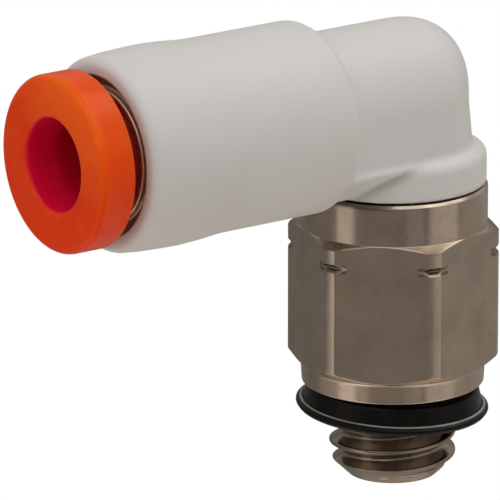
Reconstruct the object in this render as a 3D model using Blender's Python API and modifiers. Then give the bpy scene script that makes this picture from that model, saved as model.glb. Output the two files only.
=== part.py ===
"""Push-in elbow fitting: a resin elbow that swivels on a plated brass screw stud.

The origin is the centre of the gasket's seat plane, on the thread's axis.  +Z runs up the
stud, and the tube port looks along -X.  Every length below is in millimetres.
"""
import math

import bmesh
import bpy
from mathutils import Matrix

MM = 0.001
ROUND = 36                    # facets round a large turned piece
SMALL = 24                    # facets round a small piece inside

# Elbow body
TUBE_AXIS_Z = 12.07           # height of the tube port's axis above the seat
BARREL_R = 3.67               # tube port barrel, behind its rounded lip
SWELL = ((3.72, 12.50), (3.765, 11.50), (3.775, 10.90), (3.735, 10.00), (3.67, 9.30))
BARREL_MID_R = 3.65           # barrel behind the swelling round the guide ring
MOUTH_S = 13.50               # mouth plane, measured from the stud's axis
SHOULDER = (4.55, 4.05)       # the barrel's rear shoulder rounds off between these
BLOCK_R = 3.03                # arched top of the elbow block
BLOCK_HALF_WIDTH = 2.93       # flat sides of the block, at the height of the tube axis
LEG_R = 2.74                  # upright leg at the height of the tube axis
LEG_FOOT = (3.02, 2.3)        # the leg's radius where it enters the collar, and the drop
CORNER_POWER = 2.75           # squareness of the outer corner's curve
COLLAR_R = 3.50
COLLAR_Z = (8.95, 10.31)
SPIGOT_R = 2.30               # the leg's lower end, inside the stud
SPIGOT_Z = 3.30
SNAP_R = 2.52                 # bead that holds the spigot in the stud
PASSAGE_R = 1.15              # air passage

# Bores in the barrel: radius, and how far each reaches towards the stud's axis
GUIDE_BORE = (2.98, 10.00)
GRIP_BORE = (2.58, 7.90)
SEAL_BORE = (2.30, 6.30)
TUBE_BORE = (1.66, 4.30)

# Stud
HEX_AF = 7.14                 # 9/32 inch across flats
HEX_TURN_DEG = 17.3           # turn of the hexagon's first corner from +X
HEX_CORNER_R = 3.98           # the corners are turned down to this
HEX_Z = (2.25, 7.06)
GROOVE_Z = 6.34
HEAD_R = 3.56                 # round head above the hexagon
HEAD_Z = (7.28, 8.92)
NECK_R = 3.48
NECK_Z = (1.09, 1.85)
SOCKET_R = 2.36
SOCKET_Z = 3.05
STUD_BORE_R = 1.10

# Screw thread, 10-32 UNF
THREAD_MAJOR_R = 2.413
THREAD_MINOR_R = 1.93
THREAD_PITCH = 0.79375
THREAD_END_Z = -2.60
THREAD_TOP_Z = 0.55
THREAD_PHASE_DEG = 145.0      # direction in which a crest stands at THREAD_CREST_Z
THREAD_CREST_Z = -0.56

# Gasket
GASKET_R = 3.64
GASKET_BORE_R = 2.56
GASKET_TOP = 1.06

# Release button
BUTTON_R = 3.34
BUTTON_BORE_R = 1.74
BUTTON_SLEEVE_R = 2.10
BUTTON_S = (14.15, 15.57)
BUTTON_NOSE_S = 9.35


def arc(cx, cy, rx, ry, start, end, steps):
    """Points of an elliptical arc in the (radius, height) plane, angles in degrees."""
    points = []
    for i in range(steps + 1):
        a = math.radians(start + (end - start) * i / steps)
        points.append((cx + rx * math.cos(a), cy + ry * math.sin(a)))
    return points


def new_collection(name):
    coll = bpy.data.collections.new(name)
    bpy.context.scene.collection.children.link(coll)
    return coll


def material(name, colour, roughness, metallic=0.0):
    mat = bpy.data.materials.new(name)
    mat.use_nodes = True
    bsdf = mat.node_tree.nodes["Principled BSDF"]
    bsdf.inputs["Base Color"].default_value = (*colour, 1.0)
    bsdf.inputs["Roughness"].default_value = roughness
    bsdf.inputs["Metallic"].default_value = metallic
    mat.diffuse_color = (*colour, 1.0)
    return mat


def link(obj, coll, mat=None):
    coll.objects.link(obj)
    if mat:
        obj.data.materials.append(mat)
    if coll.name == "cutters":
        obj.hide_render = True
        obj.display_type = "WIRE"
    return obj


def aim_along_tube(obj):
    """Turn the object's own Z axis to -X, on the axis of the tube port."""
    obj.location = (0.0, 0.0, TUBE_AXIS_Z * MM)
    obj.rotation_euler = (0.0, math.radians(-90.0), 0.0)


def turned(name, profile, coll, mat=None, closed=True, along_tube=False, steps=ROUND):
    """Turn a profile of (radius, height) points, given down its outer side, about Z."""
    mesh = bpy.data.meshes.new(name)
    edges = [(i, i + 1) for i in range(len(profile) - 1)]
    if closed:
        edges.append((len(profile) - 1, 0))
    mesh.from_pydata([(r * MM, 0.0, z * MM) for r, z in profile], edges, [])
    obj = link(bpy.data.objects.new(name, mesh), coll, mat)
    screw = obj.modifiers.new("turn", "SCREW")
    screw.axis = "Z"
    screw.steps = screw.render_steps = steps
    screw.use_merge_vertices = True
    screw.merge_threshold = 0.000001
    screw.use_smooth_shade = True
    if along_tube:
        aim_along_tube(obj)
    return obj


def boolean(obj, other, operation):
    mod = obj.modifiers.new(operation.lower() + "_" + other.name, "BOOLEAN")
    mod.operation = operation
    mod.solver = "EXACT"
    mod.object = other


def finish_mesh(bm, name, coll, mat=None):
    bmesh.ops.recalc_face_normals(bm, faces=bm.faces)
    mesh = bpy.data.meshes.new(name)
    bm.to_mesh(mesh)
    bm.free()
    mesh.shade_smooth()
    mesh.set_sharp_from_angle(angle=math.radians(35.0))
    return link(bpy.data.objects.new(name, mesh), coll, mat)


def elbow_block(coll):
    """The bend: an arch over flat sides, turning down into a round leg.

    Each line of points follows the path over the top and down the leg, scaled by the cosine
    of its angle round the section.  The block is convex, so its surface is their hull.
    """
    corner_steps, level_end = 12, 4.4
    foot_r, drop = LEG_FOOT
    power = 2.0 / CORNER_POWER
    bm = bmesh.new()
    for j in range(ROUND // 2 + 1):
        angle = math.pi * (j / (ROUND // 2) - 0.5)
        c, s = math.cos(angle), math.sin(angle)
        path = [(-level_end, BLOCK_HALF_WIDTH * s, BLOCK_R * c),
                (foot_r * c, foot_r * s, -drop)]
        for k in range(corner_steps + 1):
            phi = math.pi / 2 * k / corner_steps
            path.append((LEG_R * math.sin(phi) ** power * c, BLOCK_HALF_WIDTH * s,
                         BLOCK_R * math.cos(phi) ** power * c))
        for x, y, z in path:
            bm.verts.new((x * MM, y * MM, (TUBE_AXIS_Z + z) * MM))
    for side in (-1.0, 1.0):
        bm.verts.new((-level_end * MM, side * foot_r * MM, (TUBE_AXIS_Z - drop) * MM))
    bmesh.ops.remove_doubles(bm, verts=bm.verts, dist=0.0000001)
    hull = bmesh.ops.convex_hull(bm, input=bm.verts)
    inside = {v for v in hull["geom_interior"] if isinstance(v, bmesh.types.BMVert)}
    bmesh.ops.delete(bm, geom=list(inside), context="VERTS")
    return finish_mesh(bm, "elbow_block", coll)


def barrel_skirt(coll):
    """The barrel's underside, carried on until it meets the collar."""
    low, high = COLLAR_Z
    skirt = turned("barrel_skirt", [(0.0, 5.2), (BARREL_MID_R - 0.01, 5.2),
                                    (BARREL_MID_R - 0.01, 0.4), (0.0, 0.4)],
                   coll, closed=False, along_tube=True)
    bm = bmesh.new()
    bmesh.ops.create_cube(bm, size=1.0)
    bmesh.ops.scale(bm, vec=(12.0 * MM, 12.0 * MM, (high - low - 0.06) * MM), verts=bm.verts)
    bmesh.ops.translate(bm, vec=(0.0, 0.0, (low + high) / 2.0 * MM), verts=bm.verts)
    boolean(skirt, finish_mesh(bm, "skirt_slab", coll), "INTERSECT")
    return skirt


def elbow_body(parts, cutters, mat):
    barrel = [(0.0, MOUTH_S + 0.002)]
    barrel += arc(3.20, MOUTH_S - 0.45, BARREL_R - 3.20, 0.45, 90.0, 0.0, 6)
    barrel += [*SWELL, (BARREL_MID_R, 8.9)]
    start, end = SHOULDER
    barrel += arc(BLOCK_R, start, BARREL_MID_R - BLOCK_R, start - end, 0.0, -90.0, 6)
    barrel += [(0.0, end)]
    body = turned("elbow_body", barrel, parts, mat, closed=False, along_tube=True)

    low, high = COLLAR_Z
    foot = [(0.0, high + 0.002)]
    foot += arc(COLLAR_R - 0.40, high - 0.40, 0.40, 0.40, 90.0, 0.0, 5)
    foot += [(COLLAR_R, low + 0.05), (COLLAR_R - 0.05, low), (SPIGOT_R, low)]
    foot += [(SPIGOT_R, 8.10), (SNAP_R, 7.90), (SNAP_R, 7.78), (SPIGOT_R, 7.45)]
    foot += [(SPIGOT_R, 5.32), (1.64, 5.32), (1.64, 4.42), (SPIGOT_R, 4.42)]
    foot += [(SPIGOT_R, SPIGOT_Z + 0.30), (SPIGOT_R - 0.20, SPIGOT_Z), (0.0, SPIGOT_Z)]
    boolean(body, turned("elbow_foot", foot, cutters, closed=False), "UNION")
    boolean(body, elbow_block(cutters), "UNION")
    boolean(body, barrel_skirt(cutters), "UNION")

    bores = [(0.0, MOUTH_S + 1.0), (GUIDE_BORE[0], MOUTH_S + 1.0)]
    for (radius, reach), (next_radius, _) in zip(
            (GUIDE_BORE, GRIP_BORE, SEAL_BORE, TUBE_BORE),
            (GRIP_BORE, SEAL_BORE, TUBE_BORE, (PASSAGE_R, 0.0))):
        bores += [(radius, reach), (next_radius, reach)]
    bores += [(PASSAGE_R, -PASSAGE_R * 0.6), (0.0, -PASSAGE_R * 1.1)]
    boolean(body, turned("tube_bores", bores, cutters, closed=False, along_tube=True),
            "DIFFERENCE")
    drop = [(0.0, TUBE_AXIS_Z), (PASSAGE_R - 0.004, TUBE_AXIS_Z),
            (PASSAGE_R - 0.004, SPIGOT_Z - 1.0), (0.0, SPIGOT_Z - 1.0)]
    boolean(body, turned("leg_passage", drop, cutters, closed=False), "DIFFERENCE")
    return body


def thread_ridge(cutters):
    """One helical ridge, wound right-handed, from below the screw's end to its undercut."""
    per_turn, turns = 32, 5
    start_z = THREAD_CREST_Z - 4.0 * THREAD_PITCH
    crest, flank = THREAD_PITCH / 8.0, 1.0 / math.sqrt(3.0)
    root_r = THREAD_MINOR_R - 0.06
    root = crest / 2.0 + (THREAD_MAJOR_R + 0.02 - root_r) * flank
    root = min(root, THREAD_PITCH / 2.0 - 0.03)
    start = math.radians(THREAD_PHASE_DEG)
    bm = bmesh.new()
    section = []
    for r, z in ((root_r, -root), (THREAD_MAJOR_R + 0.02, -crest / 2.0),
                 (THREAD_MAJOR_R + 0.02, crest / 2.0), (root_r, root)):
        section.append(bm.verts.new((r * math.cos(start) * MM, r * math.sin(start) * MM,
                                     (start_z + z) * MM)))
    face = bm.faces.new(section)
    steps = per_turn * turns
    bmesh.ops.spin(bm, geom=[face, *face.edges, *face.verts], cent=(0.0, 0.0, 0.0),
                   axis=(0.0, 0.0, 1.0), dvec=(0.0, 0.0, THREAD_PITCH * MM / per_turn),
                   angle=2.0 * math.pi * turns, steps=steps, use_duplicate=False)
    bmesh.ops.triangulate(bm, faces=bm.faces)
    return finish_mesh(bm, "thread_ridge", cutters)


def stud(parts, cutters, mat):
    top, bottom = HEAD_Z[1], HEX_Z[0]
    groove, groove_half = 0.18, 0.17
    blank = [(SOCKET_R + 0.14, top), (HEAD_R - 0.13, top), (HEAD_R, top - 0.13)]
    blank += [(HEAD_R, HEAD_Z[0]), (HEX_CORNER_R, HEX_Z[1])]
    blank += [(HEX_CORNER_R, GROOVE_Z + groove_half), (HEX_CORNER_R - groove, GROOVE_Z),
              (HEX_CORNER_R, GROOVE_Z - groove_half)]
    blank += [(HEX_CORNER_R, bottom), (NECK_R, NECK_Z[1]), (NECK_R, NECK_Z[0] + 0.12),
              (NECK_R - 0.12, NECK_Z[0]), (THREAD_MINOR_R, NECK_Z[0])]
    blank += [(THREAD_MINOR_R, THREAD_END_Z + 0.20), (THREAD_MINOR_R - 0.20, THREAD_END_Z),
              (STUD_BORE_R + 0.12, THREAD_END_Z), (STUD_BORE_R, THREAD_END_Z + 0.12)]
    blank += [(STUD_BORE_R, SOCKET_Z), (SOCKET_R, SOCKET_Z), (SOCKET_R, 7.34),
              (SOCKET_R + 0.24, 7.58), (SOCKET_R + 0.24, 8.02), (SOCKET_R, 8.26),
              (SOCKET_R, top - 0.14)]
    body = turned("stud", blank, parts, mat)

    envelope = [(0.0, THREAD_TOP_Z + 0.32), (THREAD_MINOR_R - 0.03, THREAD_TOP_Z + 0.32),
                (THREAD_MAJOR_R, THREAD_TOP_Z), (THREAD_MAJOR_R, THREAD_END_Z + 0.70),
                (THREAD_MINOR_R - 0.16, THREAD_END_Z + 0.06), (0.0, THREAD_END_Z + 0.06)]
    ridge = thread_ridge(cutters)
    boolean(ridge, turned("thread_envelope", envelope, cutters, closed=False), "INTERSECT")
    boolean(body, ridge, "UNION")

    bpy.ops.mesh.primitive_cylinder_add(
        vertices=6, radius=HEX_AF / math.sqrt(3.0) * MM, depth=8.0 * MM,
        location=(0.0, 0.0, 5.0 * MM))
    flats = bpy.context.active_object
    flats.name = flats.data.name = "hex_flats"
    flats.rotation_euler[2] = math.radians(HEX_TURN_DEG - 90.0)
    ring = turned("hex_cutter", [(5.0, HEAD_Z[0]), (5.0, 1.90), (3.0, 1.90),
                                 (3.0, HEAD_Z[0])], cutters)
    for coll in flats.users_collection:
        coll.objects.unlink(flats)
    link(flats, cutters)
    boolean(ring, flats, "DIFFERENCE")
    boolean(body, ring, "DIFFERENCE")
    return body


def gasket(parts, steel, rubber):
    """A steel washer in a rubber rim that is open at its bore."""
    slot_low, slot_high, slot_r = 0.33, 0.69, 3.28
    rim = [(GASKET_BORE_R, GASKET_TOP), (3.22, GASKET_TOP), (3.31, 0.98)]
    rim += [(3.44, 0.52), (3.56, 0.42), (GASKET_R, 0.29), (GASKET_R, 0.19), (3.57, 0.05)]
    rim += [(3.46, 0.0), (GASKET_BORE_R, 0.0), (GASKET_BORE_R, slot_low)]
    rim += [(slot_r, slot_low), (slot_r, slot_high), (GASKET_BORE_R, slot_high)]
    turned("gasket_rubber", rim, parts, rubber)
    turned("gasket_washer", [(3.25, 0.66), (3.25, 0.36), (2.50, 0.36), (2.50, 0.66)],
           parts, steel, steps=SMALL)


def swivel_o_ring(parts, mat):
    bpy.ops.mesh.primitive_torus_add(
        location=(0.0, 0.0, 4.87 * MM), major_radius=1.995 * MM, minor_radius=0.325 * MM,
        major_segments=SMALL, minor_segments=10)
    ring = bpy.context.active_object
    ring.name = ring.data.name = "swivel_o_ring"
    for coll in ring.users_collection:
        coll.objects.unlink(ring)
    link(ring, parts, mat)
    ring.data.shade_smooth()


def release_button(parts, mat):
    back, front = BUTTON_S
    r_hole, r_sleeve = BUTTON_BORE_R, BUTTON_SLEEVE_R
    profile = arc(BUTTON_R - 0.22, front - 0.22, 0.22, 0.22, 90.0, 0.0, 4)
    profile += [(BUTTON_R, back + 0.08), (BUTTON_R - 0.08, back), (r_sleeve, back)]
    profile += [(r_sleeve, 12.52), (2.44, 12.46), (2.44, 12.24), (r_sleeve, 12.02)]
    profile += [(r_sleeve, BUTTON_NOSE_S + 0.25), (r_sleeve - 0.22, BUTTON_NOSE_S)]
    profile += [(r_hole, BUTTON_NOSE_S)]
    profile += arc(r_hole + 0.20, front - 0.20, 0.20, 0.20, 180.0, 90.0, 3)
    turned("release_button", profile, parts, mat, along_tube=True)


def guide_ring(parts, mat):
    """Metal sleeve barbed into the barrel's mouth; its front lip keeps the button in."""
    front, back, lip_back, lip_r = 13.30, 10.05, 12.62, 2.30
    profile = [(lip_r, front - 0.12), (lip_r + 0.08, front), (lip_r + 0.18, front)]
    profile += [(2.54, front - 0.06), (2.54, 13.08), (2.87, 13.08), (2.95, 13.00)]
    for barb in (12.70, 11.90, 11.10):
        profile += [(2.95, barb), (2.82, barb), (2.82, barb - 0.15), (2.95, barb - 0.55)]
    profile += [(2.95, back + 0.12), (2.84, back), (2.72, back), (2.54, 10.60)]
    profile += [(2.54, lip_back), (lip_r, lip_back)]
    turned("guide_ring", profile, parts, mat, along_tube=True, steps=SMALL)


def slits(name, count, width, reach, coll):
    """Straight slots through a turned piece, one box across each pair."""
    low, high = reach
    boxes = []
    for i in range(count // 2):
        bm = bmesh.new()
        bmesh.ops.create_cube(bm, size=1.0)
        bmesh.ops.scale(bm, vec=(8.0 * MM, width * MM, (high - low) * MM), verts=bm.verts)
        bmesh.ops.translate(bm, vec=(0.0, 0.0, (low + high) / 2.0 * MM), verts=bm.verts)
        turn = math.radians(360.0 * (i + 0.5) / count)
        bmesh.ops.rotate(bm, verts=bm.verts, cent=(0.0, 0.0, 0.0),
                         matrix=Matrix.Rotation(turn, 3, "Z"))
        box = finish_mesh(bm, f"{name}_{i}", coll)
        aim_along_tube(box)
        boxes.append(box)
    return boxes


def chuck(parts, cutters, mat):
    """Steel ring with a cone of teeth that lean inwards against the tube."""
    profile = [(2.22, 9.02), (2.52, 9.02), (2.52, 8.05), (2.30, 8.05), (2.24, 8.20),
               (1.70, 7.98), (1.66, 8.10), (2.18, 8.62)]
    ring = turned("chuck", profile, parts, mat, along_tube=True, steps=SMALL)
    for box in slits("chuck_slit", 8, 0.16, (7.5, 8.45), cutters):
        boolean(ring, box, "DIFFERENCE")


def collet(parts, cutters, mat):
    """Split resin sleeve behind the chuck, with a tapered nose that the guide closes."""
    profile = [(2.15, 11.15), (2.28, 11.15), (2.50, 10.80), (2.50, 9.08), (2.15, 9.08)]
    sleeve = turned("collet", profile, parts, mat, along_tube=True, steps=SMALL)
    for box in slits("collet_slit", 4, 0.22, (9.55, 11.5), cutters):
        boolean(sleeve, box, "DIFFERENCE")


def tube_seal(parts, mat):
    """Rubber ring with one lip that presses on the tube."""
    profile = [(1.86, 7.72), (2.27, 7.72), (2.27, 6.36), (1.80, 6.36), (1.52, 6.80),
               (1.50, 6.98), (1.58, 7.10), (1.86, 7.16)]
    turned("tube_seal", profile, parts, mat, along_tube=True, steps=SMALL)


def main():
    for obj in list(bpy.data.objects):
        bpy.data.objects.remove(obj, do_unlink=True)
    parts = new_collection("push_in_elbow")
    cutters = new_collection("cutters")
    resin = material("white_resin", (0.62, 0.60, 0.56), 0.38)
    brass = material("nickel_plated_brass", (0.52, 0.47, 0.40), 0.30, 1.0)
    guide_metal = material("guide_metal", (0.60, 0.55, 0.46), 0.28, 1.0)
    steel = material("spring_steel", (0.60, 0.60, 0.60), 0.25, 1.0)
    washer = material("washer_steel", (0.50, 0.50, 0.49), 0.35, 1.0)
    orange = material("orange_resin", (0.72, 0.09, 0.01), 0.35)
    collet_resin = material("collet_resin", (0.70, 0.68, 0.62), 0.45)
    black = material("gasket_rubber", (0.018, 0.017, 0.016), 0.60)
    seal = material("seal_rubber", (0.016, 0.016, 0.016), 0.50)
    o_ring = material("o_ring_rubber", (0.014, 0.014, 0.014), 0.45)
    stud(parts, cutters, brass)
    gasket(parts, washer, black)
    elbow_body(parts, cutters, resin)
    swivel_o_ring(parts, o_ring)
    guide_ring(parts, guide_metal)
    release_button(parts, orange)
    chuck(parts, cutters, steel)
    collet(parts, cutters, collet_resin)
    tube_seal(parts, seal)


main()
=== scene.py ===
"""The finished look of a push-in elbow fitting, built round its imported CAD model.

The shapes are worked out in millimetres and turned into metres as each mesh is made.  Turned
pieces are outlines of (radius, height) swept round the stud's axis or the tube's axis.  The
elbow is a distance field with soft blends, polygonised and then settled onto its surface.
"""
import math

import bpy
import numpy as np
from mathutils import Matrix, Vector


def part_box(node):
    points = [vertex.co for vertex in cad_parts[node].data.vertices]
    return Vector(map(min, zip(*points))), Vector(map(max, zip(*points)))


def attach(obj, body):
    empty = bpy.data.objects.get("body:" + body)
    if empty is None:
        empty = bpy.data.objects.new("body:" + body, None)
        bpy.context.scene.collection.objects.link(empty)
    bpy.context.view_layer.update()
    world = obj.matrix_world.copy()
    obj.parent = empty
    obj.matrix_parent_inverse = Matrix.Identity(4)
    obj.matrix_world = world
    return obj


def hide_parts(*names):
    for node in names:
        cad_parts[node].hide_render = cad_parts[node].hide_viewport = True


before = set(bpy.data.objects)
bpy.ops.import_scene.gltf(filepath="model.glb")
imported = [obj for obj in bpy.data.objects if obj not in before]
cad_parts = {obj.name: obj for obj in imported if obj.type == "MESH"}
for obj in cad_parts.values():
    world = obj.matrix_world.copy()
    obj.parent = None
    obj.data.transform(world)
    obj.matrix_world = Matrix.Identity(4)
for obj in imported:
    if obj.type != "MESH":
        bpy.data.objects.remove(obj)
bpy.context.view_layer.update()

MM = 0.001
X, Y, Z = 0, 1, 2
TURN = 2.0 * math.pi


def reach(node, axis):
    """Lowest and highest coordinate of a CAD node along one axis, in millimetres."""
    low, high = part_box(node)
    return low[axis] / MM, high[axis] / MM


# Driving dimensions, from the frame
TUBE_Z = sum(reach("release_button", Z)) / 2.0        # height of the tube port's axis
BUTTON_R = reach("release_button", Y)[1]
BUTTON_FACE = -reach("release_button", X)[0]          # distances from the stud's axis
BUTTON_NOSE = -reach("release_button", X)[1]
MOUTH = -reach("elbow_body", X)[0]
SWELL_R = reach("elbow_body", Y)[1]
SPIGOT_Z = reach("elbow_body", Z)[0]
RING_FACE = -reach("guide_ring", X)[0]
RING_BACK = -reach("guide_ring", X)[1]
RING_R = reach("guide_ring", Y)[1]
HEAD_TOP = reach("stud", Z)[1]
THREAD_END = reach("stud", Z)[0]
GASKET_TOP = reach("gasket_rubber", Z)[1]
GASKET_R = reach("gasket_rubber", X)[1]
SEAL_BACK, SEAL_FRONT = (-v for v in reversed(reach("tube_seal", X)))

# Elbow, in millimetres
BARREL_R = 3.65
LIP_R, LIP_ROUND = 3.67, 0.45
# Radius and distance from the stud's axis, along the swelling round the guide ring
SWELL = ((3.72, 12.50), (3.765, 11.50), (SWELL_R, 10.90), (3.735, 10.00), (LIP_R, 9.30))
SHOULDER = (4.55, 4.05)          # where the barrel's rear edge begins to round, and its end
SKIRT_MIDDLE, SKIRT_HALF = 2.8, 2.4              # the barrel's underside runs on over this
ARCH_R = 3.03
ARCH_HALF_WIDTH = 2.93
ARCH_FRONT = 4.4                 # how far the bend runs on inside the barrel
LEG_R = 2.74
LEG_FOOT_R = 3.02
LEG_FOOT_DROP = 2.3              # depth below the tube's axis where the leg has widened
CORNER_POWER = 2.75              # squareness of the bend's outer corner; 2 would be round
COLLAR_R, COLLAR_ROUND, COLLAR_EDGE = 3.50, 0.40, 0.05
GUSSET = (0.63, 0.776, 3.375)    # flat underside each side of the neck: |y|, depth, distance
COLLAR_LOW, COLLAR_HIGH = HEAD_TOP + 0.03, 10.31
SPIGOT_R = 2.30
SNAP_BEAD = (2.52, 8.10, 7.90, 7.78, 7.45)       # radius, then heights from the top down
O_RING_GROOVE = (1.64, 5.32, 4.42)               # radius, top, bottom
PASSAGE_R = 1.15
MOUTH_BORE_R = 2.98
TUBE_STOP = 4.30
FILLET = 0.30                    # between the bend, the barrel and the collar
BORE_EDGE = 0.06                 # softness of the bores' edges
# Radius of each stepped bore along the tube's axis, and where it ends inside
BORES = ((MOUTH_BORE_R, 10.00), (2.58, 7.90), (2.30, 6.30), (1.66, TUBE_STOP))

# Stud, in millimetres
HEX_APOTHEM = 3.57
HEX_CORNER_R = 3.99
HEX_TURN = math.radians(16.5)
HEX_LOW, HEX_HIGH = 2.18, 7.06
FLATS_LOW, FLATS_HIGH = 1.70, 7.60               # the flats cut the chamfers between these
GROOVE_Z, GROOVE_DEPTH, GROOVE_HALF = 6.34, 0.18, 0.17
HEAD_LOW, NECK_LOW, NECK_HIGH = 7.28, 1.06, 1.85
HEAD_R = 3.56
NECK_R = 3.48
SOCKET_R, SOCKET_Z = 2.36, 3.05
STUD_BORE_R = 1.10
SNAP_SLOT = (7.34, 7.58, 8.02, 8.26)             # heights of the slot for the snap bead
MAJOR_R, MINOR_R, PITCH = 2.413, 1.93, 0.79375
THREAD_HIGH, RELIEF_LOW = 0.62, 0.87             # the thread's end, and the plain neck above
CREST_TURN = math.radians(145.0)
CREST_Z = -0.56

# Gasket, button and guide ring, in millimetres and degrees
GASKET_BORE = 2.56
GASKET_TILT, GASKET_LOW_SIDE, GASKET_DROP = 2.7, -54.6, 0.125
GASKET_RIDGE = (3.44, 3.52)                      # painted grey highlight between these radii
BUTTON_BACK, BUTTON_SLEEVE_R, BUTTON_BORE_R = 14.15, 2.10, 1.74
RING_LIP_R, RING_SEAT = 2.54, 13.08              # front lip's radius, and the step behind it


# ---- outlines and meshes -------------------------------------------------------------------

def arc(cx, cy, radius, start, end, steps):
    """Points of a circular arc, angles in degrees."""
    angles = np.radians(np.linspace(start, end, steps + 1))
    return [(cx + radius * math.cos(a), cy + radius * math.sin(a)) for a in angles]


def rounded(corners, steps=6, hold=0.03):
    """A closed outline from corners (r, h, fillet), with an arc at each and rows that hold it."""
    points = []
    count = len(corners)
    for i, (r, h, fillet) in enumerate(corners):
        here = np.array((r, h))
        back = np.array(corners[i - 1][:2]) - here
        ahead = np.array(corners[(i + 1) % count][:2]) - here
        back_length, ahead_length = np.linalg.norm(back), np.linalg.norm(ahead)
        back, ahead = back / back_length, ahead / ahead_length
        half = math.acos(float(np.clip(back @ ahead, -1.0, 1.0))) / 2.0
        reach_in = fillet / max(math.tan(half), 1e-6)
        reach_in = min(reach_in, 0.45 * back_length, 0.45 * ahead_length)
        radius = reach_in * math.tan(half)
        if radius < 1e-4:
            points.append(tuple(here))
            continue
        centre = here + (back + ahead) / np.linalg.norm(back + ahead) * radius / math.sin(half)
        first, last = here + back * reach_in, here + ahead * reach_in
        start = math.atan2(*(first - centre)[::-1])
        sweep = math.atan2(*(last - centre)[::-1]) - start
        sweep = (sweep + math.pi) % TURN - math.pi
        points.append(tuple(first + back * min(hold, 0.3 * back_length)))
        for k in range(steps + 1):
            a = start + sweep * k / steps
            points.append((centre[0] + radius * math.cos(a), centre[1] + radius * math.sin(a)))
        points.append(tuple(last + ahead * min(hold, 0.3 * ahead_length)))
    return points


def densify(points, longest):
    """The same closed outline with no step longer than a length, or than longest(a, b)."""
    dense = []
    for a, b in zip(points, points[1:] + points[:1]):
        limit = longest(a, b) if callable(longest) else longest
        cuts = max(1, math.ceil(math.dist(a, b) / limit))
        dense += [(a[0] + (b[0] - a[0]) * k / cuts, a[1] + (b[1] - a[1]) * k / cuts)
                  for k in range(cuts)]
    return dense


def piece(name, points, faces, mat, body, stands_for):
    """A smooth mesh object from points in millimetres, riding on a CAD body."""
    mesh = bpy.data.meshes.new(name)
    mesh.vertices.add(len(points))
    mesh.vertices.foreach_set("co", (np.asarray(points) * MM).ravel())
    faces = np.asarray(faces)
    sides = faces.shape[1]
    mesh.loops.add(faces.size)
    mesh.loops.foreach_set("vertex_index", faces.ravel())
    mesh.polygons.add(len(faces))
    mesh.polygons.foreach_set("loop_start", np.arange(len(faces)) * sides)
    mesh.update(calc_edges=True)
    mesh.validate()
    mesh.shade_smooth()
    mesh.materials.append(mat)
    obj = bpy.data.objects.new(name, mesh)
    bpy.context.scene.collection.objects.link(obj)
    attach(obj, body)
    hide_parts(stands_for)
    return obj


def grid_faces(rows, columns):
    """Quads of a grid that closes on itself both ways."""
    i, j = np.meshgrid(np.arange(rows), np.arange(columns), indexing="ij")
    i2, j2 = (i + 1) % rows, (j + 1) % columns
    quads = np.stack([i * columns + j, i * columns + j2, i2 * columns + j2, i2 * columns + j], -1)
    return quads.reshape(-1, 4)


def swept(outline, angles, radius=None):
    """Points and faces of a closed outline turned about Z; radius() may reshape each row."""
    rows = np.array(outline)
    r = np.repeat(rows[:, :1], len(angles), axis=1)
    h = np.repeat(rows[:, 1:], len(angles), axis=1)
    if radius:
        r = radius(r, h, np.asarray(angles)[None, :])
    points = np.stack([r * np.cos(angles), r * np.sin(angles), h], -1).reshape(-1, 3)
    area = np.sum(rows[:, 0] * np.roll(rows[:, 1], -1) - np.roll(rows[:, 0], -1) * rows[:, 1])
    faces = grid_faces(len(rows), len(angles))
    return points, faces if area > 0 else faces[:, ::-1]


def along_tube(points):
    """Swept points moved from the Z axis to the tube's axis, height becoming distance -X."""
    points = np.asarray(points)
    return np.stack([-points[:, 2], points[:, 1], points[:, 0] + TUBE_Z], -1)


def even(count):
    """Evenly spaced angles round a full turn."""
    return np.linspace(0.0, TURN, count, endpoint=False)


# ---- the elbow -----------------------------------------------------------------------------

def smooth_min(a, b, blend):
    """The lesser of two fields, blended where they are nearly equal."""
    share = np.clip(0.5 + 0.5 * (b - a) / blend, 0.0, 1.0)
    return b + (a - b) * share - blend * share * (1.0 - share)


def smooth_max(a, b, blend):
    """The greater of two fields, blended in the same way."""
    return -smooth_min(-a, -b, blend)


def outline_distance(r, h, corners):
    """Distance from points to a closed outline, negative inside it."""
    nearest = np.full(r.shape, np.inf)
    inside = np.zeros(r.shape, bool)
    for (r0, h0), (r1, h1) in zip(corners, corners[1:] + corners[:1]):
        er, eh = r1 - r0, h1 - h0
        wr, wh = r - r0, h - h0
        share = np.clip((wr * er + wh * eh) / (er * er + eh * eh), 0.0, 1.0)
        nearest = np.minimum(nearest, (wr - er * share) ** 2 + (wh - eh * share) ** 2)
        if eh != 0.0:
            crosses = (h0 > h) != (h1 > h)
            inside ^= crosses & (wr < er * wh / eh)
    return np.where(inside, -1.0, 1.0) * np.sqrt(nearest)


# The elbow's outlines close beyond their axis, so that no edge of theirs lies on it
PAST_AXIS = -2.0


def barrel_outline():
    """Barrel and lip, as radius and distance from the stud's axis."""
    start, end = SHOULDER
    points = [(PAST_AXIS, MOUTH)]
    points += arc(LIP_R - LIP_ROUND, MOUTH - LIP_ROUND, LIP_ROUND, 90.0, 0.0, 10)
    points += [*SWELL, (BARREL_R, 8.9)]
    points += arc(BARREL_R - 0.5, start, 0.5, 0.0, -90.0, 8)
    return points + [(PAST_AXIS, end)]


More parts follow.
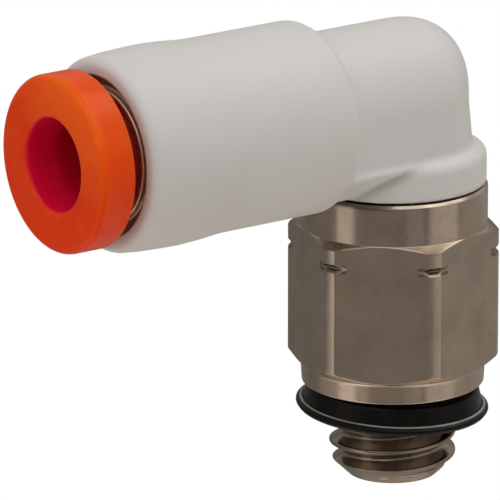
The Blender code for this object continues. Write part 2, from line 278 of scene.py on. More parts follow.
def foot_outline():
    """Collar and spigot, with heights above the gasket's seat."""
    low, high = COLLAR_LOW, COLLAR_HIGH
    bead_r, *bead = SNAP_BEAD
    groove_r, groove_top, groove_bottom = O_RING_GROOVE
    points = [(PAST_AXIS, high)]
    points += arc(COLLAR_R - COLLAR_ROUND, high - COLLAR_ROUND, COLLAR_ROUND, 90.0, 0.0, 8)
    points += arc(COLLAR_R - COLLAR_EDGE, low + COLLAR_EDGE, COLLAR_EDGE, 0.0, -90.0, 3)
    points += [(SPIGOT_R, low)]
    points += zip((SPIGOT_R, bead_r, bead_r, SPIGOT_R), bead)
    points += [(SPIGOT_R, groove_top), (groove_r, groove_top)]
    points += [(groove_r, groove_bottom), (SPIGOT_R, groove_bottom)]
    points += [(SPIGOT_R, SPIGOT_Z + 0.30), (SPIGOT_R - 0.20, SPIGOT_Z), (PAST_AXIS, SPIGOT_Z)]
    return points


def bore_outline():
    """The stepped bores along the tube's axis, from outside the mouth inwards."""
    outside = MOUTH + 1.0
    points = [(PAST_AXIS, outside), (MOUTH_BORE_R, outside)]
    for (radius, end), (next_radius, _) in zip(BORES, BORES[1:] + ((PASSAGE_R, 0.0),)):
        points += [(radius, end), (next_radius, end)]
    return points + [(PASSAGE_R, -0.4), (PAST_AXIS, -PASSAGE_R)]


BARREL, FOOT, BORE = barrel_outline(), foot_outline(), bore_outline()


def elbow_field(p):
    """Signed distance, near enough, to the elbow's surface."""
    x, y, height = p[..., 0], p[..., 1], p[..., 2]
    z = height - TUBE_Z
    from_tube, from_stud = np.hypot(y, z), np.hypot(x, y)
    barrel = outline_distance(from_tube, -x, BARREL)

    # The barrel's underside, carried on between flat flanks until it meets the collar
    slab = np.abs(height - (COLLAR_LOW + COLLAR_HIGH) / 2.0)
    slab = slab - (COLLAR_HIGH - COLLAR_LOW) / 2.0 + 0.03
    side, depth, apart = GUSSET
    gusset = side * np.abs(y) - depth * z - apart
    skirt = smooth_max(from_tube - (BARREL_R - 0.01), gusset, 0.10)
    skirt = smooth_max(skirt, slab, 0.15)
    skirt = np.maximum(skirt, np.abs(-x - SKIRT_MIDDLE) - SKIRT_HALF)

    # The bend: an arch that turns down at its outer corner into the leg
    drop = np.clip(-z / LEG_FOOT_DROP, 0.0, 1.3)
    half_x = LEG_R + (LEG_FOOT_R - LEG_R) * drop
    half_y = ARCH_HALF_WIDTH + (LEG_FOOT_R - ARCH_HALF_WIDTH) * drop
    outward = (np.maximum(x, 0.0) / half_x) ** CORNER_POWER
    upward = (np.maximum(z, 0.0) / ARCH_R) ** CORNER_POWER
    corner = (outward + upward + 1e-9) ** (2.0 / CORNER_POWER)
    block = (np.sqrt(corner + (y / half_y) ** 2) - 1.0) * ARCH_HALF_WIDTH
    block = np.maximum(block, np.maximum(-x - ARCH_FRONT, COLLAR_HIGH - 0.15 - height))

    foot = outline_distance(from_stud, height, FOOT)
    upper = smooth_min(np.minimum(barrel, skirt), block, FILLET)
    leg = np.minimum(smooth_min(block, foot, FILLET), smooth_min(skirt, foot, 0.05))
    body = np.minimum(upper, leg)

    bore = outline_distance(from_tube, -x, BORE)
    drop_hole = np.maximum(from_stud - PASSAGE_R, z)
    return smooth_max(smooth_max(body, -bore, BORE_EDGE), -drop_hole, BORE_EDGE)


def surface_net(field, low, high, step):
    """Points and quads of the field's zero surface, one point in each cell that it crosses."""
    axes = [np.arange(a, b + step, step) for a, b in zip(low, high)]
    value = field(np.stack(np.meshgrid(*axes, indexing="ij"), -1))
    cells = tuple(n - 1 for n in value.shape)
    total = np.zeros(cells + (3,))
    crossings = np.zeros(cells, int)
    edges = []
    for axis in range(3):
        a = value[tuple(slice(0, -1) if k == axis else slice(None) for k in range(3))]
        b = value[tuple(slice(1, None) if k == axis else slice(None) for k in range(3))]
        index = np.argwhere((a < 0.0) != (b < 0.0))
        va, vb = a[tuple(index.T)], b[tuple(index.T)]
        at = index.astype(float)
        at[:, axis] += va / (va - vb)
        others = [k for k in range(3) if k != axis]
        for shift in ((0, 0), (1, 0), (0, 1), (1, 1)):
            cell = index.copy()
            cell[:, others[0]] -= shift[0]
            cell[:, others[1]] -= shift[1]
            valid = np.all((cell >= 0) & (cell < cells), axis=1)
            where = tuple(cell[valid].T)
            np.add.at(total, where, at[valid])
            np.add.at(crossings, where, 1)
        edges.append((axis, others, index, va < 0.0))
    used = crossings > 0
    number = np.full(cells, -1)
    number[used] = np.arange(used.sum())
    points = total[used] / crossings[used][:, None] * step + np.array([a[0] for a in axes])
    quads = []
    for axis, others, index, starts_inside in edges:
        ring = []
        for shift in ((0, 0), (1, 0), (1, 1), (0, 1)):
            cell = index.copy()
            cell[:, others[0]] -= shift[0]
            cell[:, others[1]] -= shift[1]
            ring.append(number[tuple(cell.T)])
        quad = np.stack(ring, 1)
        turned_round = starts_inside if axis != 1 else ~starts_inside
        quads.append(np.where(turned_round[:, None], quad, quad[:, ::-1]))
    return points, np.concatenate(quads)


def settle(field, points, rounds=4, probe=0.004):
    """Move points along the field's slope until they lie on its zero surface."""
    for _ in range(rounds):
        value = field(points)
        slope = np.stack([field(points + probe * e) - field(points - probe * e)
                          for e in np.eye(3)], -1) / (2.0 * probe)
        steepness = np.maximum((slope ** 2).sum(-1, keepdims=True), 0.2)
        points = points - np.clip(value, -0.08, 0.08)[:, None] * slope / steepness
    return points


def make_elbow(mat):
    """The whole elbow as one skin; the grid has a little room round the elbow's own box."""
    step = 0.10
    room = 0.21
    low = (-MOUTH - room, -SWELL_R - room, SPIGOT_Z - room)
    high = (COLLAR_R + room, SWELL_R + room, TUBE_Z + SWELL_R + room)
    points, faces = surface_net(elbow_field, low, high, step)
    points = settle(elbow_field, points)
    return piece("elbow_shell", points, faces, mat, "elbow", "elbow_body")


# ---- the stud ------------------------------------------------------------------------------

def hexagon_columns():
    """Angles round the stud, close together at the corners of the hexagon."""
    corner_half, sector = 6.5, 60.0
    near = np.linspace(-corner_half, corner_half, 25)
    across = np.linspace(corner_half, sector - corner_half, 19)[1:-1]
    corner = np.radians(np.concatenate([near, across]))
    return np.sort(np.concatenate([HEX_TURN + k * TURN / 6.0 + corner for k in range(6)]))


def thread_radius(h, angle):
    """Radius of a right-handed screw thread, before its ends are turned down."""
    turns = (h - CREST_Z) / PITCH - (angle - CREST_TURN) / TURN
    from_crest = PITCH * np.abs((turns + 0.5) % 1.0 - 0.5)
    flank = MAJOR_R - (from_crest - PITCH / 16.0) * math.sqrt(3.0)
    return smooth_max(smooth_min(flank, MAJOR_R, 0.06), MINOR_R, 0.14)


def stud_radius(r, h, angle):
    """The turned radius, cut back by the hexagon's flats and by the thread."""
    outer = r > SOCKET_R + 0.3
    from_flat = (angle - HEX_TURN) % (TURN / 6.0) - TURN / 12.0
    flats = HEX_APOTHEM / np.cos(from_flat)
    in_hexagon = outer & (h < FLATS_HIGH) & (h > FLATS_LOW)
    shaped = np.where(in_hexagon, smooth_min(r, flats, 0.03), r)
    screw = (h < THREAD_HIGH) & (r > STUD_BORE_R + 0.3)
    return np.where(screw, smooth_min(shaped, thread_radius(h, angle), 0.05), shaped)


def stud_step(a, b):
    """Longest step of the stud's outline: short on the thread and at the hexagon's ends."""
    outside, height = min(a[0], b[0]) > STUD_BORE_R + 0.2, (a[1] + b[1]) / 2.0
    at_top = HEX_HIGH - 0.6 < height < FLATS_HIGH
    at_foot = FLATS_LOW + 0.05 < height < HEX_LOW + 0.6
    if outside and height < RELIEF_LOW + 0.03:
        return 0.026
    return 0.03 if outside and (at_top or at_foot) else 2.0


def stud_outline():
    """Down the outside, across the screw's end and up through the bore and the socket."""
    top, bevel = HEAD_TOP - 0.06, 0.10
    slot_r = SOCKET_R + 0.24
    corners = [(SOCKET_R + 0.14, top, 0.03), (HEAD_R - bevel, top, 0.02),
               (HEAD_R, top - bevel, 0.02), (HEAD_R, HEAD_LOW, 0.02),
               (HEX_CORNER_R, HEX_HIGH, 0.025), (HEX_CORNER_R, GROOVE_Z + GROOVE_HALF, 0.008),
               (HEX_CORNER_R - GROOVE_DEPTH, GROOVE_Z, 0.02),
               (HEX_CORNER_R, GROOVE_Z - GROOVE_HALF, 0.008), (HEX_CORNER_R, HEX_LOW, 0.05),
               (NECK_R + 0.02, NECK_HIGH, 0.22), (NECK_R - 0.03, NECK_LOW, 0.07),
               (MINOR_R, NECK_LOW, 0.05), (MINOR_R, RELIEF_LOW, 0.04), (MAJOR_R, 0.55, 0.04),
               (MAJOR_R, THREAD_END + 0.70, 0.03), (MINOR_R - 0.24, THREAD_END, 0.05),
               (STUD_BORE_R + 0.12, THREAD_END, 0.02), (STUD_BORE_R, THREAD_END + 0.12, 0.02),
               (STUD_BORE_R, SOCKET_Z, 0.02), (SOCKET_R, SOCKET_Z, 0.05)]
    corners += [(r, h, 0.02) for r, h in zip((SOCKET_R, slot_r, slot_r, SOCKET_R), SNAP_SLOT)]
    corners.append((SOCKET_R, top - 0.14, 0.02))
    return densify(rounded(corners, steps=4, hold=0.02), stud_step)


def make_stud(mat):
    """The outline swept round, with rows and columns close together where it is cut."""
    points, faces = swept(stud_outline(), hexagon_columns(), stud_radius)
    return piece("stud_turned", points, faces, mat, "screw_stud", "stud")


# ---- the smaller turned pieces -------------------------------------------------------------

def askew(points):
    """The gasket's points as it hangs on the thread when nothing clamps it: a little tilted."""
    tilt, low_side = math.radians(GASKET_TILT), math.radians(GASKET_LOW_SIDE)
    spin = Matrix.Rotation(tilt, 3, Vector((-math.sin(low_side), math.cos(low_side), 0.0)))
    middle = np.array((0.0, 0.0, GASKET_TOP / 2.0))
    return (points - middle) @ np.array(spin).T + middle - np.array((0.0, 0.0, GASKET_DROP))


def make_gasket(mat):
    """The rubber rim, with a ridge near its edge and a slot inside for the washer."""
    bore, slot_r, slot_low, slot_high = GASKET_BORE, 3.28, 0.33, 0.69
    low, top, rim_r = 0.04, GASKET_TOP - 0.02, GASKET_R + 0.02
    corners = [(bore, top, 0.05), (3.25, top, 0.12), (3.42, 0.36, 0.03), (3.46, 0.40, 0.02),
               (3.53, 0.37, 0.03), (rim_r, 0.27, 0.08), (rim_r, 0.19, 0.08),
               (3.57, 0.06, 0.08), (3.40, low, 0.05), (bore, low, 0.04),
               (bore, slot_low, 0.02), (slot_r, slot_low, 0.02), (slot_r, slot_high, 0.02),
               (bore, slot_high, 0.02)]
    points, faces = swept(densify(rounded(corners, steps=5), 0.12), even(256))
    return piece("gasket_rim", askew(points), faces, mat, "screw_stud",
                 "gasket_rubber")


def make_washer(mat):
    """The flat steel ring inside the gasket."""
    low, high = reach("gasket_washer", Z)
    outer, bore = reach("gasket_washer", X)[1], 2.50
    corners = [(outer, high, 0.03), (outer, low, 0.03), (bore, low, 0.03), (bore, high, 0.03)]
    points, faces = swept(rounded(corners), even(192))
    return piece("gasket_steel", askew(points), faces, mat, "screw_stud",
                 "gasket_washer")


def make_button(mat):
    """Flange outside, sleeve with a stop rib inside, and the nose that opens the chuck."""
    back, sleeve, bore, rib = BUTTON_BACK, BUTTON_SLEEVE_R, BUTTON_BORE_R, 2.44
    corners = [(bore, BUTTON_FACE, 0.20), (BUTTON_R, BUTTON_FACE, 0.27),
               (BUTTON_R, back, 0.08), (sleeve, back, 0.08), (sleeve, 12.49, 0.05),
               (rib, 12.46, 0.03), (rib, 12.24, 0.04), (sleeve, 12.02, 0.05),
               (sleeve, BUTTON_NOSE + 0.25, 0.05), (sleeve - 0.22, BUTTON_NOSE, 0.04),
               (bore, BUTTON_NOSE, 0.03)]
    points, faces = swept(densify(rounded(corners, steps=8), 0.4), even(256))
    return piece("button_moulding", along_tube(points), faces, mat, "button",
                 "release_button")


def make_guide(mat):
    """The ring pressed into the mouth, with three barbs that hold it."""
    lip_back, lip_r, groove_r = 12.62, 2.30, 2.82
    barb_step, barb_length = 0.15, 0.55
    corners = [(lip_r, RING_FACE, 0.12), (RING_LIP_R, RING_FACE, 0.11),
               (RING_LIP_R, RING_SEAT, 0.03), (RING_R, RING_SEAT, 0.06)]
    for barb in (12.70, 11.90, 11.10):
        corners += [(RING_R, barb, 0.02), (groove_r, barb, 0.02),
                    (groove_r, barb - barb_step, 0.02), (RING_R, barb - barb_length, 0.02)]
    corners += [(RING_R, RING_BACK + 0.12, 0.02), (2.84, RING_BACK, 0.02),
                (2.72, RING_BACK, 0.02), (RING_LIP_R, 10.60, 0.03), (RING_LIP_R, lip_back, 0.03),
                (lip_r, lip_back, 0.03)]
    points, faces = swept(rounded(corners, steps=4), even(192))
    return piece("guide_sleeve", along_tube(points), faces, mat, "elbow",
                 "guide_ring")


def make_seal(mat):
    """The tube's seal, with its lip leaning inwards."""
    outer, ring_r, lip_r = 2.27, 1.86, 1.50
    corners = [(ring_r, SEAL_FRONT, 0.03), (outer, SEAL_FRONT, 0.04), (outer, SEAL_BACK, 0.04),
               (1.80, SEAL_BACK, 0.04), (1.52, 6.80, 0.04), (lip_r, 6.98, 0.03),
               (1.58, 7.10, 0.03), (ring_r, 7.16, 0.05)]
    points, faces = swept(rounded(corners), even(160))
    return piece("lip_seal", along_tube(points), faces, mat, "elbow",
                 "tube_seal")


def make_o_ring(mat):
    """The O-ring round the spigot."""
    low, high = reach("swivel_o_ring", Z)
    cord_r = (high - low) / 2.0
    outer = reach("swivel_o_ring", X)[1]
    outline = arc(outer - cord_r, (low + high) / 2.0, cord_r, 0.0, 351.0, 39)
    points, faces = swept(outline, even(160))
    return piece("o_ring_cord", points, faces, mat, "elbow", "swivel_o_ring")


# ---- materials -----------------------------------------------------------------------------

class Nodes:
    """Short ways to add and join the nodes of one tree."""

    def __init__(self, tree):
        self.tree = tree

    def add(self, kind, **settings):
        node = self.tree.nodes.new(kind)
        for key, value in settings.items():
            setattr(node, key, value)
        return node

    def put(self, value, socket):
        """Join a socket to the value's socket, or store the value in it."""
        if isinstance(value, bpy.types.NodeSocket):
            self.tree.links.new(value, socket)
        else:
            socket.default_value = value

    def math(self, operation, a, b=0.0):
        """One step of arithmetic on sockets or numbers."""
        node = self.add("ShaderNodeMath", operation=operation)
        self.put(a, node.inputs[0])
        self.put(b, node.inputs[1])
        return node.outputs[0]

    def vector(self, operation, a, b=(0.0, 0.0, 0.0)):
        """The same for vectors."""
        node = self.add("ShaderNodeVectorMath", operation=operation)
        self.put(a, node.inputs[0])
        self.put(b, node.inputs[1])
        return node.outputs["Value" if operation == "DOT_PRODUCT" else "Vector"]

    def times(self, first, *others):
        """The product of two or more numbers."""
        for other in others:
            first = self.math("MULTIPLY", first, other)
        return first

    def radius(self, a, b):
        """Distance from an axis, from the two coordinates across it."""
        squares = self.math("ADD", self.math("POWER", a, 2.0), self.math("POWER", b, 2.0))
        return self.math("SQRT", squares)

    def remap(self, value, low, high, new_low=0.0, new_high=1.0, kind="LINEAR"):
        """Carry low..high over to new_low..new_high, and hold the ends beyond them."""
        node = self.add("ShaderNodeMapRange", interpolation_type=kind)
        for socket, item in zip(node.inputs, (value, low, high, new_low, new_high)):
            self.put(item, socket)
        return node.outputs[0]


class Surface(Nodes):
    """The nodes of a new material, with texture sizes in millimetres."""

    def __init__(self, name):
        self.material = bpy.data.materials.new(name)
        self.material.use_nodes = True
        super().__init__(self.material.node_tree)
        self.shader = self.tree.nodes["Principled BSDF"]
        self.place = self.add("ShaderNodeTexCoord").outputs["Object"]

    def set(self, **values):
        """Fill the shader's inputs: base_color is its Base Color, and so on."""
        for key, value in values.items():
            name = "IOR" if key == "ior" else key.replace("_", " ").title()
            self.put(value, self.shader.inputs[name])

    def noise(self, per_mm, detail=3.0, roughness=0.5):
        """Soft noise with so many lumps to the millimetre."""
        node = self.add("ShaderNodeTexNoise")
        self.put(self.place, node.inputs["Vector"])
        node.inputs["Scale"].default_value = per_mm / MM
        node.inputs["Detail"].default_value = detail
        node.inputs["Roughness"].default_value = roughness
        return node.outputs["Fac"]

    def mix(self, share, a, b):
        """Colours a and b, each a socket or a colour without its alpha."""
        node = self.add("ShaderNodeMix", data_type="RGBA")
        self.put(share, node.inputs["Factor"])
        self.put((*a, 1.0) if isinstance(a, tuple) else a, node.inputs["A"])
        self.put((*b, 1.0) if isinstance(b, tuple) else b, node.inputs["B"])
        return node.outputs["Result"]

    def bump(self, height, distance_mm, strength, before=None):
        """A normal bent by a height, on top of another normal where one is given."""
        node = self.add("ShaderNodeBump")
        node.inputs["Strength"].default_value = strength
        node.inputs["Distance"].default_value = distance_mm * MM
        self.put(height, node.inputs["Height"])
        if before:
            self.put(before, node.inputs["Normal"])
        return node.outputs["Normal"]

    def axes(self):
        """Object coordinates in millimetres as three sockets."""
        split = self.add("ShaderNodeSeparateXYZ")
        self.put(self.vector("MULTIPLY", self.place, (1.0 / MM,) * 3), split.inputs[0])
        return split.outputs


def shade(colour, share):
    """The same colour, darker."""
    return tuple(share * c for c in colour)


def white_resin():
    """Moulded resin, warm white, with a faint skin texture and slightly uneven gloss.

    It carries painted light: the lip at the mouth is tinted pink as painted orange light from the
    button, and painted shade darkens the hollow where the barrel's underside meets the collar.  A
    thin band just outside the bore's edge, round the guide ring, is darker.
    """
    n = Surface("white_resin_moulded")
    x, y, z = n.axes()
    up = n.math("SUBTRACT", z, TUBE_Z)
    from_tube, from_stud = n.radius(y, up), n.radius(x, y)
    drift = n.remap(n.noise(0.25, 2.0), 0.3, 0.7)
    colour = n.mix(drift, (0.80, 0.785, 0.77), (0.83, 0.82, 0.805))

    at_mouth = n.remap(x, -MOUTH + 0.30, -MOUTH + 0.10)
    past_bore = n.math("SUBTRACT", from_tube, MOUTH_BORE_R)
    # Painted light: the lip is tinted pink where the button's orange light would reach it
    painted_orange_glow = n.times(n.remap(past_bore, 0.06, 0.52, 1.0, 0.0, "SMOOTHSTEP"), at_mouth,
                   n.remap(past_bore, 0.22, 0.32, 0.10, 1.0), 0.9)
    colour = n.mix(painted_orange_glow, colour, (0.76, 0.50, 0.45))
    # Darker in a thin band just outside the bore's edge, round the guide ring
    bore_edge_darkening = n.times(n.remap(past_bore, 0.05, 0.10, 0.85, 0.0), at_mouth)
    colour = n.mix(bore_edge_darkening, colour, (0.10, 0.055, 0.035))

    # Painted shade: the crease where the barrel's underside meets the collar is darkened as if in
    # shadow
    side, down, apart = GUSSET
    past_flank = n.math("SUBTRACT", n.times(n.math("ABSOLUTE", y), side),
                        n.math("ADD", n.times(up, down), apart))
    painted_crease_shade = n.times(n.remap(past_flank, -0.02, 0.06, 0.0, 1.0, "SMOOTHSTEP"),
                     n.remap(past_flank, 0.10, 0.42, 1.0, 0.0, "SMOOTHSTEP"),
                     n.remap(z, COLLAR_HIGH - 0.15, COLLAR_HIGH, 1.0, 0.0),
                     n.remap(from_stud, COLLAR_R + 0.06, COLLAR_R + 0.20, 0.6, 0.0),
                     n.remap(x, -1.2, -1.8))
    colour = n.mix(painted_crease_shade, colour, (0.50, 0.48, 0.42))

    gloss = n.remap(n.noise(1.2, 4.0, 0.6), 0.3, 0.7, 0.44, 0.54)
    skin = n.bump(n.noise(9.0, 4.0, 0.6), 0.004, 0.35, n.bump(n.noise(0.8, 2.0), 0.02, 0.30))
    n.set(base_color=colour, roughness=gloss, normal=skin, ior=1.48, subsurface_weight=0.12,
          subsurface_radius=(1.0, 0.8, 0.65), subsurface_scale=0.6 * MM)
    return n.material


def orange_resin():
    """Orange acetal, a little translucent: painted crimson light in the bore, painted light on the
    upper left, painted shade behind the flange and a faint painted glow.
    """
    n = Surface("orange_resin_moulded")
    x, y, z = n.axes()
    up = n.math("SUBTRACT", z, TUBE_Z)
    from_face = n.math("ADD", x, BUTTON_FACE)
    in_bore = n.remap(n.radius(y, up), BUTTON_BORE_R - 0.02, BUTTON_BORE_R + 0.12, 1.0, 0.0,
                      "SMOOTHSTEP")
    # Painted light and shade in the bore: crimson, as light bounced between orange walls makes it,
    # and darker further in
    bore = n.mix(n.remap(from_face, 0.15, 3.5), (0.76, 0.003, 0.046), (0.60, 0.002, 0.034))

    # Painted light: the upper left is painted lighter and yellower, most of all on the face
    painted_light = n.remap(n.math("ADD", n.times(y, -0.45), n.times(up, 0.8)), 0.2, 2.6)
    painted_light = n.times(painted_light, n.remap(from_face, 0.12, 0.40, 1.0, 0.45))
    blotch = n.remap(n.noise(0.9, 3.0, 0.55), 0.3, 0.7)
    body = n.mix(painted_light, n.mix(blotch, (0.93, 0.036, 0.0), (0.96, 0.066, 0.0)),
                 n.mix(blotch, (1.0, 0.110, 0.003), (1.0, 0.155, 0.008)))
    # Painted shade on the sleeve behind the flange
    painted_shade_behind = n.remap(x, -BUTTON_BACK - 0.10, -BUTTON_BACK + 0.10)
    body = n.mix(painted_shade_behind, body, (0.46, 0.055, 0.035))
    # Painted glow: a faint emission, strongest where the painted light is, none behind the flange,
    # crimson in the bore
    painted_orange_glow = n.times(n.remap(painted_shade_behind, 0.0, 1.0, 1.0, 0.0), n.remap(painted_light, 0.0, 1.0, 0.05, 0.15))

    gloss = n.remap(n.noise(2.5, 4.0, 0.6), 0.3, 0.7, 0.26, 0.34)
    skin = n.bump(n.noise(2.4, 1.0, 0.4), 0.006, 0.10, n.bump(n.noise(0.9, 1.0), 0.03, 0.40))
    n.set(base_color=n.mix(in_bore, body, bore), roughness=gloss, normal=skin, ior=1.40,
          emission_color=n.mix(in_bore, (0.6, 0.06, 0.0), (1.0, 0.0, 0.10)),
          emission_strength=painted_orange_glow, specular_tint=(1.0, 0.62, 0.38, 1.0),
          subsurface_weight=0.55, subsurface_radius=(1.0, 0.22, 0.06),
          subsurface_scale=1.4 * MM)
    return n.material


def stud_darkening_and_painted_shade(n, base, dark, x, z, from_axis):
    """Painted shade under the barrel and down in the thread; darker in the groove and on the
    chamfer's upper part.
    """
    # Painted shade on the head's top edge where the barrel overhangs it
    painted_shade_under_barrel = n.times(n.remap(z, HEAD_TOP - 0.28, HEAD_TOP - 0.18, 0.0, 0.75),
                           n.remap(x, -1.9, -2.6))
    base = n.mix(painted_shade_under_barrel, base, shade(dark, 0.2))

    # Darker in the groove and on the chamfer's upper part
    level = n.math("ABSOLUTE", n.math("SUBTRACT", z, GROOVE_Z))
    in_groove = n.times(n.remap(level, GROOVE_HALF - 0.04, GROOVE_HALF + 0.02, 0.75, 0.0),
                        n.remap(from_axis, HEX_CORNER_R - 0.19, HEX_CORNER_R - 0.15))
    chamfer_slope, chamfer_low, chamfer_high = 0.61, 9.44, 9.49
    cone = n.math("ADD", z, n.times(from_axis, chamfer_slope))
    on_chamfer = n.times(n.remap(cone, chamfer_low, chamfer_high, 0.0, 0.55),
                         n.remap(from_axis, HEAD_R + 0.01, HEAD_R + 0.05),
                         n.remap(z, GROOVE_Z + 0.06, GROOVE_Z + 0.26))
    base = n.mix(n.math("MAXIMUM", in_groove, on_chamfer), base, shade(dark, 0.3))

    # Painted shade down in the thread, below the gasket
    thread_top = 0.95
    painted_thread_shade = n.times(n.remap(z, thread_top, thread_top - 0.3, 0.0, 0.75),
                        n.remap(z, THREAD_END, THREAD_END + 0.6, 0.1, 1.0))
    return n.mix(painted_thread_shade, base, shade(dark, 0.56))


def ring_painted_shade(n, base, dark, _x, _z, from_axis):
    """The guide ring is dark outside its lip, where the resin shades it."""
    # Painted shade outside the lip
    outside = n.remap(from_axis, RING_LIP_R + 0.04, RING_LIP_R + 0.07, 0.0, 0.8)
    return n.mix(outside, base, shade(dark, 0.15))


def turned_metal(name, dark, light, rough, around_tube=False, specks=1.0, darkening_and_painted_shade=None):
    """Satin plating over turned metal: fine rings, soft blotches and small stains."""
    n = Surface(name)
    x, y, z = n.axes()
    along, from_axis = z, n.radius(x, y)
    if around_tube:
        along, from_axis = x, n.radius(y, n.math("SUBTRACT", z, TUBE_Z))

    lane = n.add("ShaderNodeCombineXYZ")
    n.put(from_axis, lane.inputs[0])
    n.put(along, lane.inputs[2])
    rings = n.add("ShaderNodeTexNoise")
    n.put(lane.outputs[0], rings.inputs["Vector"])
    rings.inputs["Scale"].default_value = 14.0
    rings.inputs["Detail"].default_value = 3.0

    base = n.mix(n.remap(n.noise(0.55, 4.0, 0.6), 0.3, 0.7), dark, light)
    warm = n.remap(n.noise(0.8, 3.0), 0.35, 0.65, 0.0, 1.0)
    warmer = tuple(c * k for c, k in zip(light, (1.02, 0.90, 0.82)))
    base = n.mix(n.times(warm, 0.65), base, warmer)
    # Painted shade and other darkening, from the function given
    if darkening_and_painted_shade:
        base = darkening_and_painted_shade(n, base, dark, x, z, from_axis)
    stain = n.remap(n.noise(3.2, 2.0), 0.66, 0.72, 0.0, 0.55 * specks)
    cloudy = n.remap(n.noise(0.9, 5.0, 0.65), 0.25, 0.75, rough - 0.04, rough + 0.06)

    pits = n.remap(n.noise(6.0, 2.0), 0.62, 0.70, 0.0, -1.0)
    shape = n.bump(rings.outputs["Fac"], 0.004, 0.16, n.bump(pits, 0.006, 0.6 * specks))
    tangent = n.add("ShaderNodeTangent", direction_type="RADIAL", axis="X" if around_tube else "Z")
    n.set(base_color=n.mix(stain, base, shade(dark, 0.35)),
          roughness=n.math("ADD", cloudy, n.times(stain, 0.3)),
          normal=n.bump(n.noise(0.45, 2.0), 0.03, 0.4, shape), metallic=1.0, anisotropic=0.25,
          tangent=tangent.outputs[0])
    return n.material


def black_rubber(name, rough, painted_highlight_band=None):
    """Moulded nitrile rubber, faintly dusty; a ridge between two radii may carry a painted grey
    highlight.
    """
    n = Surface(name)
    dust = n.remap(n.noise(1.4, 5.0, 0.65), 0.45, 0.75)
    colour = n.mix(dust, (0.0042, 0.0038, 0.0034), (0.010, 0.0088, 0.0075))
    if painted_highlight_band:
        x, y, z = n.axes()
        from_axis = n.radius(x, y)
        low, high = painted_highlight_band
        # Painted highlight: a grey line on the ridge stands for the glint along the rim
        painted_highlight = n.times(n.remap(from_axis, low - 0.02, low),
                       n.remap(from_axis, high, high + 0.03, 1.0, 0.0),
                       n.remap(z, 0.02, 0.10), n.remap(n.noise(0.9), 0.35, 0.65, 0.65, 1.0))
        colour = n.mix(painted_highlight, colour, (0.42, 0.41, 0.39))
    n.set(base_color=colour, normal=n.bump(n.noise(11.0, 3.0, 0.6), 0.006, 0.5), ior=1.24,
          roughness=n.remap(n.noise(3.0), 0.3, 0.7, rough - 0.06, rough + 0.10))
    return n.material


def natural_resin():
    """The collet's uncoloured resin."""
    n = Surface("collet_resin_moulded")
    colour = n.mix(n.noise(1.5), (0.60, 0.57, 0.50), (0.68, 0.65, 0.58))
    n.set(base_color=colour, roughness=n.remap(n.noise(3.0), 0.3, 0.7, 0.38, 0.5),
          normal=n.bump(n.noise(9.0), 0.005, 0.4), subsurface_weight=0.1,
          subsurface_scale=0.4 * MM)
    return n.material


# ---- the scene -----------------------------------------------------------------------------

def look_along(azimuth, elevation):
    """Right, up and forward directions of a view; azimuth 0 looks along +Y."""
    a, e = math.radians(azimuth), math.radians(elevation)
    forward = -Vector((math.sin(a) * math.cos(e), -math.cos(a) * math.cos(e), math.sin(e)))
    right = forward.cross(Vector((0.0, 0.0, 1.0))).normalized()
    return right, right.cross(forward), forward


def make_camera():
    """A long lens, with the crossing of the two axes up and right of the picture's middle."""
    right, up, forward = look_along(-35.77, 16.68)
    rightward, upward, away = 5.409, 5.699, 300.4         # millimetres
    crossing = Vector((0.0, 0.0, TUBE_Z * MM))
    offset = right * rightward + up * upward + forward * away
    data = bpy.data.cameras.new("camera")
    data.lens = 576.0
    data.sensor_width = 36.0
    data.clip_start, data.clip_end = 0.01, 10.0
    camera = bpy.data.objects.new("camera", data)
    turn = Matrix((right, up, -forward)).transposed()
    camera.matrix_world = Matrix.Translation(crossing - offset * MM) @ turn.to_4x4()
    bpy.context.scene.collection.objects.link(camera)
    bpy.context.scene.camera = camera


def panel(n, direction, azimuth, width, low, high, edge, colour):
    """Light from a soft-edged stretch of the room; azimuths and elevations in degrees."""
    a, half, low, high = (math.radians(v) for v in (azimuth, width / 2.0, low, high))
    soft = math.radians(edge) / 2.0
    level = n.vector("NORMALIZE", n.vector("MULTIPLY", direction, (1.0, 1.0, 0.0)))
    facing = n.vector("DOT_PRODUCT", level, (math.sin(a), -math.cos(a), 0.0))
    turned = n.math("ARCCOSINE", facing)
    split = n.add("ShaderNodeSeparateXYZ")
    n.put(direction, split.inputs[0])
    raised = n.math("ARCSINE", split.outputs[2])
    across = n.remap(turned, half + soft, half - soft, kind="SMOOTHSTEP")
    above = n.remap(raised, low - soft, low + soft, kind="SMOOTHSTEP")
    below = n.remap(raised, high + soft, high - soft, kind="SMOOTHSTEP")
    return n.vector("MULTIPLY", colour, n.times(across, n.times(above, below)))


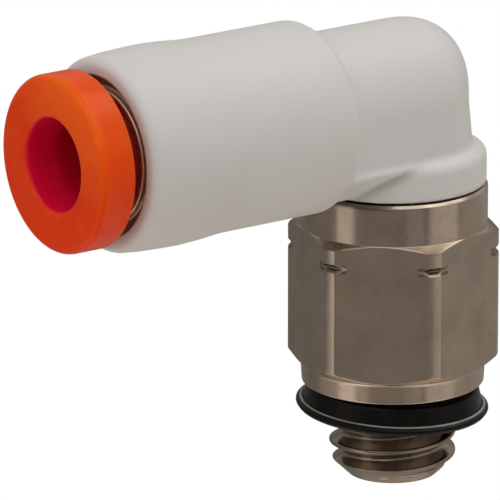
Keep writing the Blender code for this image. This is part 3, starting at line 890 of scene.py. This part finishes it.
# Stretches of light round the fitting: azimuth, width, lowest and highest elevation, edge,
# radiance.  The metal shows the gaps between them; the pale resin evens them out.  The one
# below zero is a narrow dark gap.
PANELS = (
    (-35.8, 400.0, -100.0, 100.0, 10.0, (0.20, 0.189, 0.174)),
    (-98.0, 24.0, -100.0, 12.0, 4.0, (0.45, 0.42, 0.385)),
    (-106.0, 76.0, -100.0, -24.0, 14.0, (0.40, 0.36, 0.315)),
    (28.0, 40.0, -100.0, 24.0, 5.0, (0.31, 0.295, 0.285)),
    (30.0, 74.0, -100.0, -28.0, 20.0, (0.32, 0.295, 0.26)),
    (3.4, 2.0, -60.0, 10.0, 2.0, (-0.15, -0.15, -0.15)),
    (-10.0, 22.0, -60.0, 10.0, 4.0, (0.11, 0.11, 0.11)),
    (-44.0, 40.0, -60.0, 10.0, 20.0, (0.05, 0.04, 0.035)),
    (86.0, 78.0, -60.0, 30.0, 30.0, (0.15, 0.14, 0.13)),
    (-35.8, 400.0, -100.0, -48.0, 24.0, (0.22, 0.195, 0.16)),
    (-35.8, 400.0, 16.0, 46.0, 14.0, (0.20, 0.20, 0.205)),
    (-86.0, 80.0, 18.0, 50.0, 18.0, (0.66, 0.645, 0.63)),
    (-40.0, 160.0, 46.0, 100.0, 16.0, (1.01, 1.00, 0.99)),
    (54.0, 44.0, 48.0, 84.0, 12.0, (1.30, 1.28, 1.25)),
    (92.0, 44.0, 40.0, 62.0, 12.0, (1.80, 1.75, 1.66)),
)


def make_world():
    """A dim warm room with soft panels of light; the camera sees plain white."""
    world = bpy.data.worlds.new("studio")
    bpy.context.scene.world = world
    world.use_nodes = True
    n = Nodes(world.node_tree)
    n.tree.nodes.clear()
    direction = n.add("ShaderNodeTexCoord").outputs["Generated"]
    first, *others = (panel(n, direction, *stretch) for stretch in PANELS)
    total = first
    for light in others:
        total = n.vector("ADD", total, light)
    room, white = n.add("ShaderNodeBackground"), n.add("ShaderNodeBackground")
    n.put(total, room.inputs["Color"])
    n.put((1.0, 1.0, 1.0, 1.0), white.inputs["Color"])
    seen = n.add("ShaderNodeMixShader")
    n.put(n.add("ShaderNodeLightPath").outputs["Is Camera Ray"], seen.inputs[0])
    n.put(room.outputs[0], seen.inputs[1])
    n.put(white.outputs[0], seen.inputs[2])
    n.put(seen.outputs[0], n.add("ShaderNodeOutputWorld").inputs["Surface"])


def make_floor():
    """A plain pale floor, which the camera sees as white; sizes in metres."""
    half, z = 1.5, -0.05
    mesh = bpy.data.meshes.new("floor")
    mesh.from_pydata([(-half, -half, z), (half, -half, z), (half, half, z), (-half, half, z)],
                     [], [(0, 1, 2, 3)])
    floor = bpy.data.objects.new("floor", mesh)
    bpy.context.scene.collection.objects.link(floor)
    mat = bpy.data.materials.new("floor_white")
    mat.use_nodes = True
    n = Nodes(mat.node_tree)
    n.put(n.add("ShaderNodeEmission").outputs[0], n.tree.nodes["Material Output"].inputs["Surface"])
    mesh.materials.append(mat)
    floor.visible_diffuse = floor.visible_glossy = floor.visible_transmission = False
    floor.visible_shadow = False


def repaint(node, mat):
    """Give a CAD node that keeps its own shape a finished material."""
    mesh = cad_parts[node].data
    mesh.materials.clear()
    mesh.materials.append(mat)


def main():
    bpy.context.scene.view_settings.view_transform = "Standard"
    make_camera()
    make_world()
    make_floor()
    seal = black_rubber("seal_rubber_greased", 0.36)
    make_elbow(white_resin())
    make_stud(turned_metal("nickel_plate", (0.415, 0.348, 0.280), (0.565, 0.487, 0.412), 0.16,
                           specks=0.35, darkening_and_painted_shade=stud_darkening_and_painted_shade))
    make_gasket(black_rubber("gasket_rubber_moulded", 0.28, GASKET_RIDGE))
    make_washer(turned_metal("washer_steel_strip", (0.40, 0.40, 0.39), (0.5, 0.5, 0.49), 0.34))
    make_button(orange_resin())
    make_guide(turned_metal("guide_plate", (0.74, 0.65, 0.54), (0.86, 0.77, 0.65), 0.42, True,
                            specks=0.3, darkening_and_painted_shade=ring_painted_shade))
    make_seal(seal)
    make_o_ring(seal)
    repaint("chuck", turned_metal("spring_steel_strip", (0.45, 0.45, 0.45), (0.55, 0.55, 0.55),
                                  0.24, True))
    repaint("collet", natural_resin())


main()
